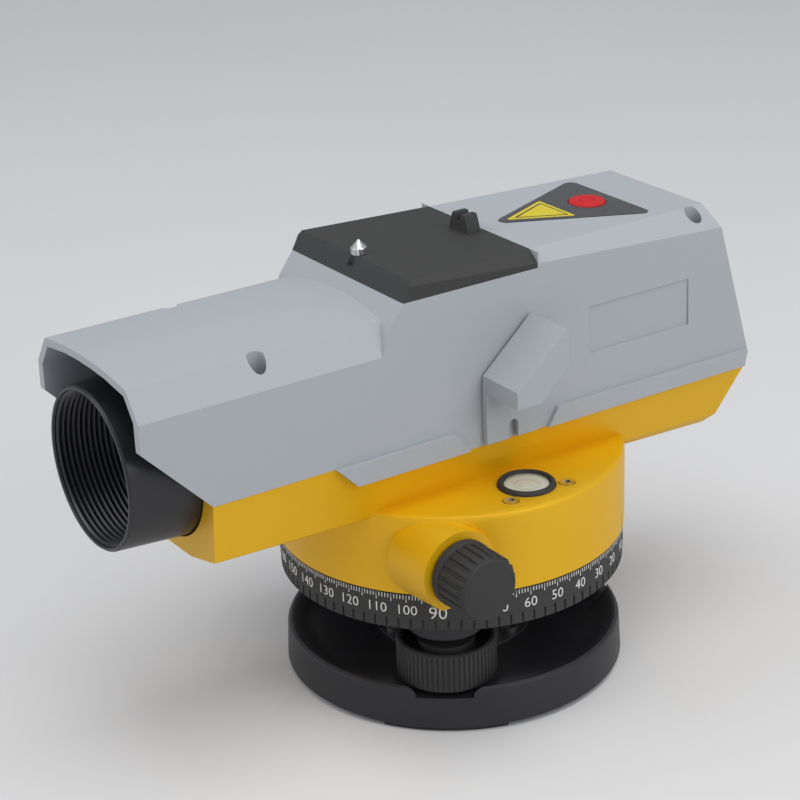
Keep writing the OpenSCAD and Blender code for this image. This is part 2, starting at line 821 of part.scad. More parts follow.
base_plate();
spring_plate();
spring_plate_screws();
foot_ball(0);  // foot_ball_a
foot_ball(1);  // foot_ball_b
foot_ball(2);  // foot_ball_c
foot_spindle(0);  // foot_spindle_a
foot_spindle(1);  // foot_spindle_b
foot_spindle(2);  // foot_spindle_c
foot_knob(0);  // foot_knob_a
foot_knob(1);  // foot_knob_b
foot_knob(2);  // foot_knob_c
tribrach();
axis_sleeve();
circle_ring();
circle_washer();
worm_wheel();
clutch_washer();
lower_body();
axis_spindle();
axis_retainer();
tangent_shaft();
tangent_bushes();
tangent_knob();  // tangent_knob_left
mirror([1, 0, 0]) tangent_knob();  // tangent_knob_right
vial_bezel();
vial_base();
vial_glass();
vial_screws();
top_cover();
cover_screws();
sight_plate();
front_sight();
label_panel();
power_button();
control_board();
battery_tray();
batteries();
mirror_hood();
bubble_mirror();
lens_barrel();
objective_lens();
objective_ring();
telescope_tube();
focus_carriage();
focus_lens();
focus_bush();
focus_pinion();
focus_knob();
compensator_frame();
pendulum();
pendulum_prism();
roof_prism();
laser_module();
laser_bracket();
beam_splitter();
reticle();
eyepiece_tube();
eyepiece_lenses();
eyepiece_ring();
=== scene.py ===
"""Looks for the automatic level: finishes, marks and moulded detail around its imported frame."""

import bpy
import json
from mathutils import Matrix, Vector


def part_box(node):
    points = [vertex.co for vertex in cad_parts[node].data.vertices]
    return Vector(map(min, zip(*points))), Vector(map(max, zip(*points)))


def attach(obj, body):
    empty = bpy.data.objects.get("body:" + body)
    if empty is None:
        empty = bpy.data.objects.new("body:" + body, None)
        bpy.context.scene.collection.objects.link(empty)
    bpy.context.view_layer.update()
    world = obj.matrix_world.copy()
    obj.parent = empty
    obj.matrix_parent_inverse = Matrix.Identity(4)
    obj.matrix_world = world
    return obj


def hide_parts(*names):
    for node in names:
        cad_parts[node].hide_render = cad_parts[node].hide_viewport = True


bl_info = {
    "name": "Automatic level looks",
    "version": (1, 0, 0),
    "blender": (4, 5, 0),
    "location": "View3D > Sidebar > Level",
    "description": "Builds the visible pieces and finishes of an automatic level",
    "category": "Object",
}

import json
import math

import bmesh
import bpy
from bpy.props import FloatProperty, FloatVectorProperty, IntProperty, PointerProperty
from mathutils import Matrix, Vector

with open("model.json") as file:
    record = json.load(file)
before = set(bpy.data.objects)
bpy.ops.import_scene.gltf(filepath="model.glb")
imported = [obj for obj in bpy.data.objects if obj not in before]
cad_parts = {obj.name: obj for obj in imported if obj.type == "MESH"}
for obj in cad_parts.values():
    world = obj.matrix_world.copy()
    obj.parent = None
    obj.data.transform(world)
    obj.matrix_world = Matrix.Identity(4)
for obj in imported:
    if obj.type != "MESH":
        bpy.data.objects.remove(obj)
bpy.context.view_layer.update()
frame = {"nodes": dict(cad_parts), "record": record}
NODES = frame["nodes"]
MM = 0.001

# Roundings that aren't a setting, in metres
HOOD_EDGE = 1.3 * MM
LID_EDGE = 0.5 * MM
BASE_EDGE = 0.6 * MM
ARM_EDGE = 0.7 * MM

# Copies of CAD nodes: points closer than this are welded, and sharper edges than this are rounded
WELD_MM = 0.02
ROUNDED_FROM_DEG = 24

# The cover's top slopes from this point, as (y, z) in mm
DECK_START = (12.4, 135.1)
DECK_SLOPE_DEG = 1.19

# Where the index line stands on the drum
INDEX_DEG = 40.1

# Stage, in metres: a flat floor that bends up into a wall, turned towards the camera
FLOOR_TURN_DEG = 56.8
FLOOR_HALF_WIDTH = 4.0
FLOOR_FRONT = -3.0
FLOOR_BEND = 1.4
BEND_RADIUS = 0.9
BEND_STEPS = 10
WALL_TOP = 4.0
FLOOR_DROP = 0.0002
WORLD_COLOUR = (0.93, 0.96, 1.0, 1)
WORLD_STRENGTH = 0.56
LIGHT_AIM = Vector((0, 0, 0.08))

# Camera: place in metres, turns in degrees, lens and sensor in mm
CAMERA_PLACE = (0.51333, -0.35318, 0.34757)
CAMERA_AZIMUTH = 56.77
CAMERA_ELEVATION = 22.94
CAMERA_ROLL = -2.05
CAMERA_LENS = 102.0
CAMERA_SENSOR = 36.0


# ---- what a user would change ---------------------------------------------------


def colour_prop(name, description, default):
    """A colour setting, in linear light."""
    return FloatVectorProperty(
        name=name, description=description, default=default, subtype="COLOR", size=3, min=0, max=1
    )


def length_prop(name, description, default):
    """A length setting, given in millimetres and kept in metres."""
    return FloatProperty(
        name=name, description=description, default=default * MM, min=0, unit="LENGTH", precision=5
    )


class LevelColours(bpy.types.PropertyGroup):
    """Colours of the level's finishes."""

    cover: colour_prop("Cover", "Moulded grey of the cover", (0.298, 0.309, 0.330))
    body: colour_prop("Body", "Yellow paint of the lower body", (1.0, 0.585, 0.0))
    black: colour_prop("Black plastic", "Knobs and graduated circle", (0.0032, 0.0032, 0.0038))
    lid: colour_prop("Lid plastic", "Battery lid and rear sight", (0.019, 0.019, 0.020))
    paint_black: colour_prop("Black paint", "Base and tribrach", (0.0026, 0.0026, 0.003))
    marks: colour_prop("Marks", "Figures and divisions on the circle", (0.78, 0.78, 0.76))
    button: colour_prop("Button", "Laser switch", (0.42, 0.008, 0.022))
    warning: colour_prop("Warning", "Plain warning triangle", (0.62, 0.50, 0.01))
    room: colour_prop("Room", "Floor and backdrop", (0.665, 0.665, 0.675))


class LevelSizes(bpy.types.PropertyGroup):
    """Sizes of the detail added to the frame."""

    cover_edge: length_prop("Cover edge", "Rounding of the cover's edges", 0.8)
    body_edge: length_prop("Body edge", "Rounding of the body's edges", 1.4)
    foot_ribs: IntProperty(name="Foot ribs", description="Ribs round a foot knob", default=60, min=8)
    tangent_ribs: IntProperty(
        name="Tangent ribs", description="Ribs round a tangent knob", default=22, min=6
    )
    tick_width: length_prop("Tick width", "Width of a division on the circle", 0.22)
    figure_height: length_prop("Figure height", "Height of the circle's figures", 3.2)


def colours():
    return bpy.context.scene.level_colours


def sizes():
    return bpy.context.scene.level_sizes


# ---- finishes --------------------------------------------------------------------


def link(tree, out, into):
    tree.links.new(out, into)


def noise(tree, coords, grain, detail=3.0, stretch=(1, 1, 1), shift=0.0):
    """Noise whose cells are about grain metres across, on the piece's own coordinates."""
    mapping = tree.nodes.new("ShaderNodeMapping")
    mapping.inputs["Scale"].default_value = stretch
    mapping.inputs["Location"].default_value = (shift, shift * 0.7, shift * 1.3)
    texture = tree.nodes.new("ShaderNodeTexNoise")
    texture.inputs["Scale"].default_value = 1.0 / grain
    texture.inputs["Detail"].default_value = detail
    link(tree, coords, mapping.inputs["Vector"])
    link(tree, mapping.outputs["Vector"], texture.inputs["Vector"])
    return texture.outputs["Fac"]


def remap(tree, value, low, high, start=0.3, end=0.7):
    node = tree.nodes.new("ShaderNodeMapRange")
    node.inputs["From Min"].default_value = start
    node.inputs["From Max"].default_value = end
    node.inputs["To Min"].default_value = low
    node.inputs["To Max"].default_value = high
    link(tree, value, node.inputs["Value"])
    return node.outputs["Result"]


def tinted(tree, base, other, amount):
    """Base colour, turned towards another by a factor socket."""
    mix = tree.nodes.new("ShaderNodeMix")
    mix.data_type = "RGBA"
    link(tree, amount, mix.inputs["Factor"])
    if isinstance(base, bpy.types.NodeSocket):
        link(tree, base, mix.inputs[6])
    else:
        mix.inputs[6].default_value = (*base, 1)
    mix.inputs[7].default_value = (*other, 1)
    return mix.outputs[2]


def finish(
    name,
    colour,
    rough,
    metallic=0.0,
    grain=0.35,
    depth=0.012,
    tone=0.06,
    swing=0.07,
    patch=16.0,
    stretch=(1, 1, 1),
    dust=0.0,
    specular=0.5,
):
    """A surface with fine grain, uneven gloss and slow changes of tone. Lengths in mm."""
    old = bpy.data.materials.get(name)
    if old:
        return old
    material = bpy.data.materials.new(name)
    material.use_nodes = True
    tree = material.node_tree
    shader = tree.nodes["Principled BSDF"]
    coords = tree.nodes.new("ShaderNodeTexCoord").outputs["Object"]
    colour = tuple(colour)
    dark = tuple(c * (1 - tone) for c in colour)
    light = tuple(min(1, c * (1 + tone)) for c in colour)
    slow = remap(tree, noise(tree, coords, patch * MM, 4), 0, 1)
    base = tinted(tree, dark, light, slow)
    if dust:
        specks = noise(tree, coords, 0.9 * MM, 6, shift=0.31)
        base = tinted(tree, base, (0.32, 0.31, 0.29), remap(tree, specks, 0, dust, 0.56, 0.78))
    link(tree, base, shader.inputs["Base Color"])
    uneven = noise(tree, coords, patch * 0.35 * MM, 5, shift=0.17)
    gloss = remap(tree, uneven, max(0.02, rough - swing), rough + swing)
    link(tree, gloss, shader.inputs["Roughness"])
    shader.inputs["Metallic"].default_value = metallic
    shader.inputs["Specular IOR Level"].default_value = specular
    bump = tree.nodes.new("ShaderNodeBump")
    bump.inputs["Distance"].default_value = depth * MM
    bump.inputs["Strength"].default_value = 0.8
    link(tree, noise(tree, coords, grain * MM, 2, stretch), bump.inputs["Height"])
    link(tree, bump.outputs["Normal"], shader.inputs["Normal"])
    return material


def print_black():
    """Near-black ink of the printed marks."""
    return finish("print_black", (0.012, 0.012, 0.013), 0.45, depth=0.002)


def glass(name, colour, ior=1.5, rough=0.05):
    """Clear glass with a faint unevenness of its polish."""
    old = bpy.data.materials.get(name)
    if old:
        return old
    material = finish(name, colour, rough, tone=0.02, swing=0.02, depth=0.0005, grain=2.0)
    shader = material.node_tree.nodes["Principled BSDF"]
    shader.inputs["Transmission Weight"].default_value = 1.0
    shader.inputs["IOR"].default_value = ior
    return material


def finishes():
    """Every finish by the record's slot name."""
    c = colours()
    return {
        "cover_grey": finish("cover_grey", c.cover, 0.46, grain=0.28, depth=0.006, tone=0.025),
        "body_yellow": finish(
            "body_yellow", c.body, 0.4, grain=0.8, depth=0.02, tone=0.03, swing=0.06, specular=0.09
        ),
        "knob_black": finish(
            "knob_black", c.black, 0.4, grain=0.3, depth=0.008, tone=0.12, dust=0.01, specular=0.09
        ),
        "plate_black": finish(
            "plate_black", c.lid, 0.42, grain=0.3, depth=0.014, tone=0.1, dust=0.04
        ),
        "circle_black": finish(
            "circle_black", c.black, 0.4, grain=0.25, depth=0.005, tone=0.1, specular=0.07
        ),
        "base_black": finish(
            "base_black", c.paint_black, 0.3, grain=0.7, depth=0.016, tone=0.12, dust=0.01, specular=0.1
        ),
        "anodised": finish(
            "anodised", (0.016, 0.016, 0.018), 0.38, metallic=0.35, depth=0.004, tone=0.1
        ),
        "blackened_steel": finish(
            "blackened_steel", (0.05, 0.05, 0.054), 0.4, metallic=0.8, grain=0.6, depth=0.006
        ),
        "steel": finish(
            "steel", (0.56, 0.57, 0.58), 0.28, metallic=1, grain=0.5, stretch=(1, 1, 9), depth=0.004
        ),
        "plated_steel": finish(
            "plated_steel", (0.72, 0.71, 0.68), 0.2, metallic=1, grain=0.8, depth=0.003
        ),
        "brass": finish(
            "brass", (0.62, 0.43, 0.16), 0.3, metallic=1, grain=0.5, stretch=(1, 1, 9), depth=0.005
        ),
        "aluminium": finish(
            "aluminium", (0.55, 0.56, 0.57), 0.36, metallic=1, grain=0.5, depth=0.006
        ),
        "label_grey": finish("label_grey", (0.026, 0.0245, 0.028), 0.5, depth=0.002, tone=0.06),
        "button_red": finish("button_red", c.button, 0.42, grain=0.3, depth=0.006, tone=0.08),
        "glass": glass("glass", (0.80, 0.88, 0.92)),
        "vial_glass": glass("vial_glass", (0.93, 0.94, 0.86), 1.47),
        "vial_cream": finish("vial_cream", (0.80, 0.80, 0.70), 0.34, depth=0.003, tone=0.05),
        "mirror": finish("mirror", (0.86, 0.88, 0.89), 0.05, metallic=1, swing=0.02, depth=0.0005),
        "board_green": finish("board_green", (0.01, 0.10, 0.035), 0.35, grain=1.2, depth=0.01),
        "cell_blue": finish("cell_blue", (0.04, 0.13, 0.30), 0.25, grain=3, depth=0.004),
    }


# ---- mesh tools --------------------------------------------------------------------


def lathe(profile, steps=96):
    """Closed solid or ring turned round Z from (radius, height) pairs, in mm."""
    bm = bmesh.new()
    rings = []
    for r, z in profile:
        if r < 1e-6:
            rings.append([bm.verts.new((0, 0, z * MM))])
            continue
        turn = [2 * math.pi * i / steps for i in range(steps)]
        rings.append([bm.verts.new((r * MM * math.cos(a), r * MM * math.sin(a), z * MM)) for a in turn])
    pairs = list(zip(rings, rings[1:]))
    if len(rings[0]) > 1 and len(rings[-1]) > 1:
        pairs.append((rings[-1], rings[0]))
    for a, b in pairs:
        if len(a) == 1 and len(b) == 1:
            continue
        for i in range(steps):
            j = (i + 1) % steps
            if len(a) == 1:
                bm.faces.new((a[0], b[j], b[i]))
            elif len(b) == 1:
                bm.faces.new((a[i], a[j], b[0]))
            else:
                bm.faces.new((a[i], a[j], b[j], b[i]))
    bmesh.ops.recalc_face_normals(bm, faces=bm.faces)
    return bm


def loft(sections):
    """Closed solid through rings of points, each ring a list of (x, y, z) in mm."""
    bm = bmesh.new()
    rings = [[bm.verts.new(Vector(p) * MM) for p in ring] for ring in sections]
    count = len(rings[0])
    for a, b in zip(rings, rings[1:]):
        for i in range(count):
            j = (i + 1) % count
            bm.faces.new((a[i], a[j], b[j], b[i]))
    bm.faces.new(rings[0])
    bm.faces.new(rings[-1])
    bmesh.ops.recalc_face_normals(bm, faces=bm.faces)
    return bm


def prism(outline, low, high):
    """Closed solid between two heights over an (x, y) outline in mm."""
    return loft([[(x, y, low) for x, y in outline], [(x, y, high) for x, y in outline]])


def round_corners(outline, radius, steps=5):
    """The outline with each corner turned into an arc."""
    result = []
    for i, here in enumerate(outline):
        here = Vector(here)
        back = (Vector(outline[i - 1]) - here).normalized()
        ahead = (Vector(outline[(i + 1) % len(outline)]) - here).normalized()
        half = back.angle(ahead) / 2
        middle = here + (back + ahead).normalized() * (radius / math.sin(half))
        start = here + back * (radius / math.tan(half)) - middle
        end = here + ahead * (radius / math.tan(half)) - middle
        for k in range(steps + 1):
            spoke = start.lerp(end, k / steps).normalized() * radius
            result.append(tuple(middle + spoke))
    return result


def joined(*parts):
    """One bmesh from several (bmesh, material index) pairs or bmeshes."""
    whole = bmesh.new()
    for part in parts:
        bm, index = part if isinstance(part, tuple) else (part, 0)
        for face in bm.faces:
            face.material_index = index
        mesh = bpy.data.meshes.new("part")
        bm.to_mesh(mesh)
        bm.free()
        whole.from_mesh(mesh)
        bpy.data.meshes.remove(mesh)
    return whole


def settled(obj):
    """The object's evaluated shape as a plain mesh in its place, with no modifiers left."""
    bpy.context.view_layer.update()
    evaluated = obj.evaluated_get(bpy.context.evaluated_depsgraph_get())
    mesh = bpy.data.meshes.new_from_object(evaluated)
    old = obj.data
    obj.modifiers.clear()
    obj.data = mesh
    bpy.data.meshes.remove(old)
    return obj


def taken(obj):
    """A bmesh of the object's settled shape. The object itself is removed."""
    settled(obj)
    mesh = obj.data
    result = bmesh.new()
    result.from_mesh(mesh)
    bpy.data.objects.remove(obj)
    bpy.data.meshes.remove(mesh)
    return result


def smooth(mesh, angle=32):
    """Smooth shading, sharp where faces meet at more than the angle."""
    bm = bmesh.new()
    bm.from_mesh(mesh)
    limit = math.radians(angle)
    for face in bm.faces:
        face.smooth = True
    for edge in bm.edges:
        edge.smooth = len(edge.link_faces) == 2 and edge.calc_face_angle(0) < limit
    bm.to_mesh(mesh)
    bm.free()


def piece(name, body, bm, slots, replaces=(), place=None, angle=32, flats=False):
    """A finished piece in its place, on its body, with the finishes of its slots.

    With flats, normals follow the largest faces, so that flat walls between rounded edges look flat.
    """
    mesh = bpy.data.meshes.new(name)
    if place is not None:
        bm.transform(place)
    bm.to_mesh(mesh)
    bm.free()
    obj = bpy.data.objects.new(name, mesh)
    bpy.context.scene.collection.objects.link(obj)
    slots = [slots] if isinstance(slots, str) else slots
    known = finishes()
    for entry in slots:
        mesh.materials.append(known[entry] if entry in known else bpy.data.materials[entry])
    if angle:
        smooth(mesh, angle)
    if flats:
        weighted = obj.modifiers.new("Flat walls", "WEIGHTED_NORMAL")
        weighted.keep_sharp = True
        settled(obj)
    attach(obj, body)
    if replaces:
        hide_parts(*([replaces] if isinstance(replaces, str) else replaces))
    return obj


def copies_tree():
    """Geometry Nodes tree that copies a shape round Z and along a line."""
    name = "Turned copies"
    old = bpy.data.node_groups.get(name)
    if old:
        return old
    tree = bpy.data.node_groups.new(name, "GeometryNodeTree")
    face = tree.interface
    face.new_socket("Geometry", in_out="INPUT", socket_type="NodeSocketGeometry")
    face.new_socket("Count", in_out="INPUT", socket_type="NodeSocketInt")
    face.new_socket("First angle", in_out="INPUT", socket_type="NodeSocketFloat")
    face.new_socket("Step angle", in_out="INPUT", socket_type="NodeSocketFloat")
    face.new_socket("Step", in_out="INPUT", socket_type="NodeSocketVector")
    face.new_socket("Finish", in_out="INPUT", socket_type="NodeSocketMaterial")
    face.new_socket("Geometry", in_out="OUTPUT", socket_type="NodeSocketGeometry")
    add = tree.nodes.new
    source = add("NodeGroupInput")
    points = add("GeometryNodePoints")
    index = add("GeometryNodeInputIndex")
    along = add("ShaderNodeVectorMath")
    along.operation = "SCALE"
    turn = add("ShaderNodeMath")
    turn.operation = "MULTIPLY_ADD"
    angles = add("ShaderNodeCombineXYZ")
    place = add("GeometryNodeInstanceOnPoints")
    real = add("GeometryNodeRealizeInstances")
    paint = add("GeometryNodeSetMaterial")
    result = add("NodeGroupOutput")
    link(tree, source.outputs["Count"], points.inputs["Count"])
    link(tree, source.outputs["Step"], along.inputs[0])
    link(tree, index.outputs[0], along.inputs["Scale"])
    link(tree, along.outputs[0], points.inputs["Position"])
    link(tree, index.outputs[0], turn.inputs[0])
    link(tree, source.outputs["Step angle"], turn.inputs[1])
    link(tree, source.outputs["First angle"], turn.inputs[2])
    link(tree, turn.outputs[0], angles.inputs["Z"])
    link(tree, points.outputs[0], place.inputs["Points"])
    link(tree, source.outputs["Geometry"], place.inputs["Instance"])
    link(tree, angles.outputs[0], place.inputs["Rotation"])
    link(tree, place.outputs[0], real.inputs[0])
    link(tree, real.outputs[0], paint.inputs["Geometry"])
    link(tree, source.outputs["Finish"], paint.inputs["Material"])
    link(tree, paint.outputs[0], result.inputs["Geometry"])
    return tree


def copied(bm, count, step_deg=0.0, first_deg=0.0, step=(0, 0, 0), finish_name="steel"):
    """A bmesh of the shape copied by the Geometry Nodes tree. Steps in degrees and mm."""
    mesh = bpy.data.meshes.new("copy source")
    bm.to_mesh(mesh)
    bm.free()
    obj = bpy.data.objects.new("copy source", mesh)
    bpy.context.scene.collection.objects.link(obj)
    modifier = obj.modifiers.new("Copies", "NODES")
    tree = copies_tree()
    modifier.node_group = tree
    values = {
        "Count": int(count),
        "First angle": math.radians(first_deg),
        "Step angle": math.radians(step_deg),
        "Step": [v * MM for v in step],
        "Finish": finishes()[finish_name],
    }
    for item in tree.interface.items_tree:
        if item.in_out == "INPUT" and item.name in values:
            modifier[item.identifier] = values[item.name]
    obj.update_tag()
    return taken(obj)


def rib(radius, low, high, width, height, sink=0.5, ends=0.6):
    """One rounded rib on a drum round Z, in mm."""
    def ring(z, scale):
        out = [(-0.5, 0.0), (-0.36, 0.7), (0.0, 1.0), (0.36, 0.7), (0.5, 0.0)]
        points = [(radius + (height * h - 0.04) * scale, width * w, z) for w, h in out]
        return points + [(radius - sink, width * 0.5, z), (radius - sink, -width * 0.5, z)]

    return loft([ring(low, 0.0), ring(low + ends, 1.0), ring(high - ends, 1.0), ring(high, 0.0)])


def from_cad(node, edge, steps=3):
    """A copy of a CAD node with its edges rounded by edge metres."""
    mesh = NODES[node].data.copy()
    bm = bmesh.new()
    bm.from_mesh(mesh)
    bmesh.ops.remove_doubles(bm, verts=bm.verts, dist=WELD_MM * MM)
    bm.to_mesh(mesh)
    bm.free()
    obj = bpy.data.objects.new("rounded copy", mesh)
    bpy.context.scene.collection.objects.link(obj)
    bevel = obj.modifiers.new("Edge", "BEVEL")
    bevel.width = edge
    bevel.segments = steps
    bevel.limit_method = "ANGLE"
    bevel.angle_limit = math.radians(ROUNDED_FROM_DEG)
    bevel.miter_outer = "MITER_ARC"
    bevel.use_clamp_overlap = True
    return taken(obj)


def repaint(node, slot):
    """Gives a CAD node that keeps its own shape the finish of its slot."""
    obj = NODES[node]
    obj.data.materials.clear()
    obj.data.materials.append(finishes()[slot])
    return obj


def axis_x(x, y, z, turned=False):
    """Place that lays Z along +X, or along -X when turned, at a point in mm."""
    way = Matrix.Rotation(math.radians(-90 if turned else 90), 4, "Y")
    return Matrix.Translation(Vector((x, y, z)) * MM) @ way


def axis_y(x, y, z):
    """Place that lays Z along +Y at a point in mm."""
    return Matrix.Translation(Vector((x, y, z)) * MM) @ Matrix.Rotation(math.radians(-90), 4, "X")


def upright(axis):
    """Place that keeps Z upright on an axis given in mm, with heights as they are."""
    return Matrix.Translation((axis.x * MM, axis.y * MM, 0))


def deck():
    """Place whose XY plane is the sloping top of the cover, with heights in its Z."""
    y, z = DECK_START
    slope = Matrix.Rotation(math.radians(-DECK_SLOPE_DEG), 4, "X")
    return Matrix.Translation((0, y * MM, z * MM)) @ slope @ Matrix.Translation((0, -y * MM, 0))


def middle(node):
    """Middle of a CAD node's box, in mm."""
    low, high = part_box(node)
    return (low + high) / 2 / MM


# ---- operators ---------------------------------------------------------------------


class LEVEL_OT_stage(bpy.types.Operator):
    """Floor, backdrop, lights and camera"""

    bl_idname = "level.stage"
    bl_label = "Stage"

    def execute(self, context):
        scene = context.scene
        self.floor()
        self.lights(scene)
        self.camera(scene)
        return {"FINISHED"}

    def floor(self):
        bm = bmesh.new()
        rows = [(FLOOR_FRONT, 0.0), (FLOOR_BEND, 0.0)]
        for k in range(1, BEND_STEPS + 1):
            a = math.radians(90 * k / BEND_STEPS)
            rows.append((FLOOR_BEND + BEND_RADIUS * math.sin(a), BEND_RADIUS - BEND_RADIUS * math.cos(a)))
        rows.append((FLOOR_BEND + BEND_RADIUS, WALL_TOP))
        back = Matrix.Rotation(math.radians(FLOOR_TURN_DEG), 4, "Z")
        strips = []
        for side in (-FLOOR_HALF_WIDTH, FLOOR_HALF_WIDTH):
            strips.append([bm.verts.new(back @ Vector((side, y, z - FLOOR_DROP))) for y, z in rows])
        for i in range(len(rows) - 1):
            bm.faces.new((strips[0][i], strips[1][i], strips[1][i + 1], strips[0][i + 1]))
        bmesh.ops.recalc_face_normals(bm, faces=bm.faces)
        mesh = bpy.data.meshes.new("floor")
        bm.to_mesh(mesh)
        bm.free()
        obj = bpy.data.objects.new("floor", mesh)
        bpy.context.scene.collection.objects.link(obj)
        mesh.materials.append(
            finish("room_floor", colours().room, 0.7, grain=4, depth=0.01, tone=0.01, patch=300)
        )
        smooth(mesh, 60)

    def lights(self, scene):
        world = bpy.data.worlds.new("studio")
        world.use_nodes = True
        background = world.node_tree.nodes["Background"]
        background.inputs["Color"].default_value = WORLD_COLOUR
        background.inputs["Strength"].default_value = WORLD_STRENGTH
        scene.world = world
        soft_boxes = [
            ("top", (0.3, -0.05, 1.2), 0.9, 7.2, (1.0, 0.985, 0.96)),
            ("left", (-0.5, -1.15, 0.75), 0.8, 4.6, (0.97, 0.985, 1.0)),
            ("right", (1.25, 0.5, 0.8), 0.8, 6.0, (1.0, 0.99, 0.97)),
        ]
        for name, spot, width, watts, tint in soft_boxes:
            data = bpy.data.lights.new(name, "AREA")
            data.shape = "SQUARE"
            data.size = width
            data.energy = watts
            data.color = tint
            obj = bpy.data.objects.new(name, data)
            scene.collection.objects.link(obj)
            obj.location = spot
            aim = LIGHT_AIM - Vector(spot)
            obj.rotation_euler = aim.to_track_quat("-Z", "Y").to_euler()

    def camera(self, scene):
        azimuth, elevation, roll = map(math.radians, (CAMERA_AZIMUTH, CAMERA_ELEVATION, CAMERA_ROLL))
        right = Vector((math.cos(azimuth), math.sin(azimuth), 0))
        back = Vector(
            (
                math.sin(azimuth) * math.cos(elevation),
                -math.cos(azimuth) * math.cos(elevation),
                math.sin(elevation),
            )
        )
        up = back.cross(right)
        turn = Matrix((right, up, back)).transposed().to_4x4() @ Matrix.Rotation(roll, 4, "Z")
        data = bpy.data.cameras.new("camera")
        data.sensor_width = CAMERA_SENSOR
        data.lens = CAMERA_LENS
        data.clip_start = 0.01
        obj = bpy.data.objects.new("camera", data)
        scene.collection.objects.link(obj)
        obj.matrix_world = Matrix.Translation(CAMERA_PLACE) @ turn
        scene.camera = obj
        scene.view_settings.view_transform = "Standard"


class LEVEL_OT_cover(bpy.types.Operator):
    """Grey top cover with softened edges, and the hood over the circular level"""

    bl_idname = "level.cover"
    bl_label = "Cover and mirror hood"

    def execute(self, context):
        shell = from_cad("top_cover", sizes().cover_edge)
        piece("cover_shell", "alidade", shell, "cover_grey", "top_cover", flats=True)
        hood = from_cad("mirror_hood", HOOD_EDGE, steps=4)
        piece("mirror_shell", "alidade", hood, "cover_grey", "mirror_hood", flats=True)
        return {"FINISHED"}


class LEVEL_OT_body(bpy.types.Operator):
    """Yellow lower body with cast edges"""

    bl_idname = "level.body"
    bl_label = "Lower body"

    def execute(self, context):
        bm = from_cad("lower_body", sizes().body_edge)
        piece("body_casting", "alidade", bm, "body_yellow", "lower_body", flats=True)
        self.index_line()
        return {"FINISHED"}

    def index_line(self):
        """Black line on the drum that the circle is read against."""
        print_black()
        low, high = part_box("circle_ring")
        drum = (high.x - low.x) / 2 / MM + 0.4
        foot = high.z / MM + 1.2
        corners = [(drum - 0.3, -0.2), (drum + 0.02, -0.2), (drum + 0.02, 0.2), (drum - 0.3, 0.2)]
        bm = prism(corners, foot, foot + 5)
        piece("index_line", "alidade", bm, "print_black", angle=0,
              place=Matrix.Rotation(math.radians(INDEX_DEG), 4, "Z"))


class LEVEL_OT_lid(bpy.types.Operator):
    """Black battery lid with its rear notch sight and the silver front sight"""

    bl_idname = "level.lid"
    bl_label = "Battery lid and sights"

    def execute(self, context):
        bm = from_cad("sight_plate", LID_EDGE)
        piece("lid_shell", "alidade", bm, "plate_black", "sight_plate", flats=True)
        print_black()
        bar = prism([(-3, -3.1), (5, -3.1), (5, -2.8), (-3, -2.8)], -0.14, -0.02)
        stem = prism([(-3, -2.8), (-2.7, -2.8), (-2.7, 0), (-3, 0)], -0.14, -0.02)
        piece("lid_mark", "alidade", joined(bar, stem), "print_black", place=deck(), angle=0)
        self.front_sight()
        return {"FINISHED"}

    def front_sight(self):
        low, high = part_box("front_sight")
        axis = middle("front_sight")
        top = high.z / MM
        base = top - 4.35
        core = lathe([(0, low.z / MM), (1.5, low.z / MM), (1.5, base), (2.1, base),
                      (2.25, base + 0.15), (2.25, base + 2.0), (2.1, base + 2.15),
                      (0.25, top - 0.05), (0, top)], 32)
        flute = rib(2.2, base + 0.05, base + 2.15, 0.62, 0.2, ends=0.2)
        flutes = copied(flute, 12, 30, finish_name="plated_steel")
        piece("sight_stud", "alidade", joined(core, flutes), "plated_steel", "front_sight",
              upright(axis), 25)


class LEVEL_OT_label(bpy.types.Operator):
    """Three-cornered panel with a plain triangle, and the red laser switch"""

    bl_idname = "level.label"
    bl_label = "Panel and switch"

    def execute(self, context):
        repaint("label_panel", "label_grey")
        finish("warning_yellow", colours().warning, 0.45, depth=0.002, tone=0.03)
        print_black()
        outer = round_corners([(0, 22.6), (9.0, 41.8), (-9.0, 41.8)], 0.6)
        inner = round_corners([(0, 25.6), (7.2, 40.7), (-7.2, 40.7)], 0.3)
        hole = round_corners([(0, 27.0), (6.3, 40.2), (-6.3, 40.2)], 0.2)
        plate = prism(outer, 0.16, 0.20)
        line = prism(inner, 0.20, 0.215)
        field = prism(hole, 0.215, 0.225)
        bm = joined((plate, 0), (line, 1), (field, 0))
        piece("plain_triangle", "alidade", bm, ["warning_yellow", "print_black"], place=deck(),
              angle=0)
        self.switch()
        return {"FINISHED"}

    def switch(self):
        low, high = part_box("power_button")
        axis = middle("power_button")
        foot, top = low.z / MM, high.z / MM
        bm = lathe([(0, foot), (6.8, foot), (6.8, foot + 0.7), (5.6, foot + 0.7), (5.6, top - 0.5),
                    (5.35, top - 0.2), (4.9, top - 0.05), (4.6, top - 0.12), (4.4, top - 0.22),
                    (4.15, top - 0.1), (3.6, top - 0.02), (2.6, top), (2.4, top - 0.28),
                    (2.1, top - 0.28), (1.9, top), (1.2, top - 0.02), (0, top - 0.05)], 96)
        piece("switch_cap", "power_button", bm, "button_red", "power_button", upright(axis), 50)


